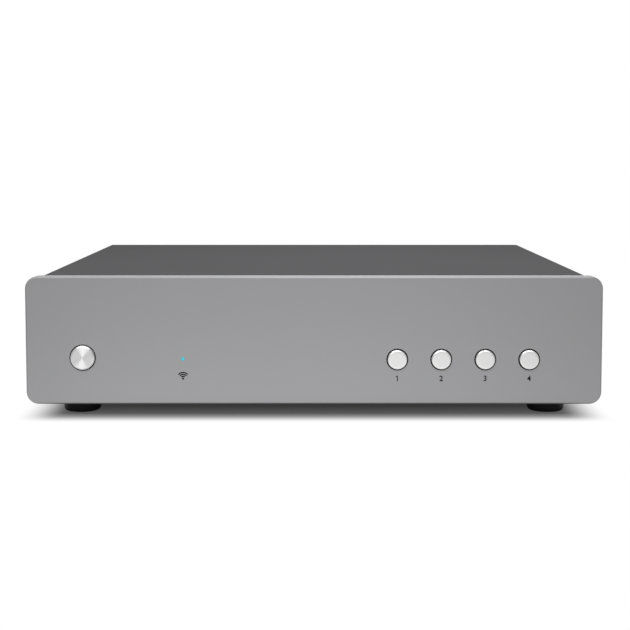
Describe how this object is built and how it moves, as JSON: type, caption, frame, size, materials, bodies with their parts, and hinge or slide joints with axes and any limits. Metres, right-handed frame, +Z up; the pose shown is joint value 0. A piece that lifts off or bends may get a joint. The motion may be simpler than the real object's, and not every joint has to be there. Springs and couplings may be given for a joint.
{
  "type": "network music streamer",
  "caption": "Low flat hi-fi box with a thick satin metal front panel, push buttons, a status light and rubber feet; streams music from a network to audio sockets at the rear.",
  "frame": {"origin": "on the surface that the feet stand on, under the middle of the object's box", "axes": "+X to the right as seen from the front, +Y to the back, +Z up; the front panel faces -Y"},
  "size_m": [0.215, 0.1912, 0.0524],
  "materials": {
    "front_panel": "bead-blasted, grey anodised, satin",
    "cover_paint": "fine-textured grey paint, matt",
    "tray_steel": "dark grey paint, matt",
    "foot_rubber": "matt black rubber",
    "black_screw": "blackened steel, satin",
    "zinc": "zinc plated, satin",
    "power_cap": "spun bright aluminium",
    "preset_cap": "bead-blasted silver, satin",
    "black_nylon": "moulded, matt",
    "circuit_board": "solder mask over glass fibre",
    "switch_metal": "tinned sheet",
    "light_pipe": "clear moulding, lit pale blue",
    "led": "gloss",
    "ribbon": "flat film cable",
    "white_nylon": "moulded, matt",
    "chip_epoxy": "moulded, matt",
    "capacitor_sleeve": "shrunk sleeve, gloss",
    "heat_sink": "extruded, satin",
    "transformer": "ferrite core with a taped winding",
    "red_lead": "insulated wire",
    "black_lead": "thin coaxial lead",
    "socket_black": "moulded, satin",
    "shutter_grey": "moulded, satin",
    "pin_brass": "bright",
    "socket_metal": "nickel plated sheet",
    "gold_plate": "gold plated, bright",
    "orange_plastic": "moulded, gloss",
    "white_plastic": "moulded, gloss",
    "red_plastic": "moulded, gloss"
  },
  "bodies": {
    "case": {"front_panel": "front_panel", "top_cover": "cover_paint", "rear_panel": "cover_paint", "chassis_tray": "tray_steel", "foot_front_left": "foot_rubber", "foot_front_right": "foot_rubber", "foot_rear_left": "foot_rubber", "foot_rear_right": "foot_rubber", "case_screws": "black_screw", "inner_screws": "zinc", "board_standoffs": "zinc", "button_guide": "black_nylon", "control_board": "circuit_board", "main_board": "circuit_board", "psu_board": "circuit_board", "network_module": "circuit_board", "tact_switches": "switch_metal", "module_shield": "switch_metal", "light_pipe": "light_pipe", "status_led": "led", "ribbon_cable": "ribbon", "ribbon_sockets": "white_nylon", "dc_headers": "white_nylon", "usb_tongue": "white_nylon", "main_chips": "chip_epoxy", "main_capacitors": "capacitor_sleeve", "psu_capacitor": "capacitor_sleeve", "processor_heatsink": "heat_sink", "psu_heatsink": "heat_sink", "psu_transformer": "transformer", "dc_leads": "red_lead", "antenna_leads": "black_lead", "mains_inlet": "socket_black", "optical_socket": "socket_black", "rca_blocks": "socket_black", "mains_pins": "pin_brass", "ethernet_socket": "socket_metal", "usb_socket": "socket_metal", "antenna_nuts": "socket_metal", "rca_barrels": "gold_plate", "antenna_sockets": "gold_plate", "coax_insulator": "orange_plastic", "left_insulator": "white_plastic", "right_insulator": "red_plastic"},
    "power_button": {"power_cap": "power_cap", "power_plunger": "black_nylon", "power_switch_stem": "black_nylon"},
    "preset_button_1": {"preset_1_cap": "preset_cap", "preset_1_plunger": "black_nylon", "preset_1_switch_stem": "black_nylon"},
    "preset_button_2": {"preset_2_cap": "preset_cap", "preset_2_plunger": "black_nylon", "preset_2_switch_stem": "black_nylon"},
    "preset_button_3": {"preset_3_cap": "preset_cap", "preset_3_plunger": "black_nylon", "preset_3_switch_stem": "black_nylon"},
    "preset_button_4": {"preset_4_cap": "preset_cap", "preset_4_plunger": "black_nylon", "preset_4_switch_stem": "black_nylon"},
    "optical_flap": {"optical_shutter": "shutter_grey"}
  },
  "joints": [
    {"name": "power_press", "type": "slide", "parent": "case", "child": "power_button", "axis": [0, 1, 0], "range_m": [0, 0.0007], "stiffness_N_per_m": 1500, "springref_m": -0.0005},
    {"name": "preset_1_press", "type": "slide", "parent": "case", "child": "preset_button_1", "axis": [0, 1, 0], "range_m": [0, 0.0007], "stiffness_N_per_m": 1500, "springref_m": -0.0005},
    {"name": "preset_2_press", "type": "slide", "parent": "case", "child": "preset_button_2", "axis": [0, 1, 0], "range_m": [0, 0.0007], "stiffness_N_per_m": 1500, "springref_m": -0.0005},
    {"name": "preset_3_press", "type": "slide", "parent": "case", "child": "preset_button_3", "axis": [0, 1, 0], "range_m": [0, 0.0007], "stiffness_N_per_m": 1500, "springref_m": -0.0005},
    {"name": "preset_4_press", "type": "slide", "parent": "case", "child": "preset_button_4", "axis": [0, 1, 0], "range_m": [0, 0.0007], "stiffness_N_per_m": 1500, "springref_m": -0.0005},
    {"name": "optical_flap_swing", "type": "hinge", "parent": "case", "child": "optical_flap", "pos_m": [0.02041, 0.0855, 0.02435], "axis": [-1, 0, 0], "range_deg": [0, 85], "stiffness_Nm_per_rad": 0.0001, "springref_deg": -11.46}
  ]
}
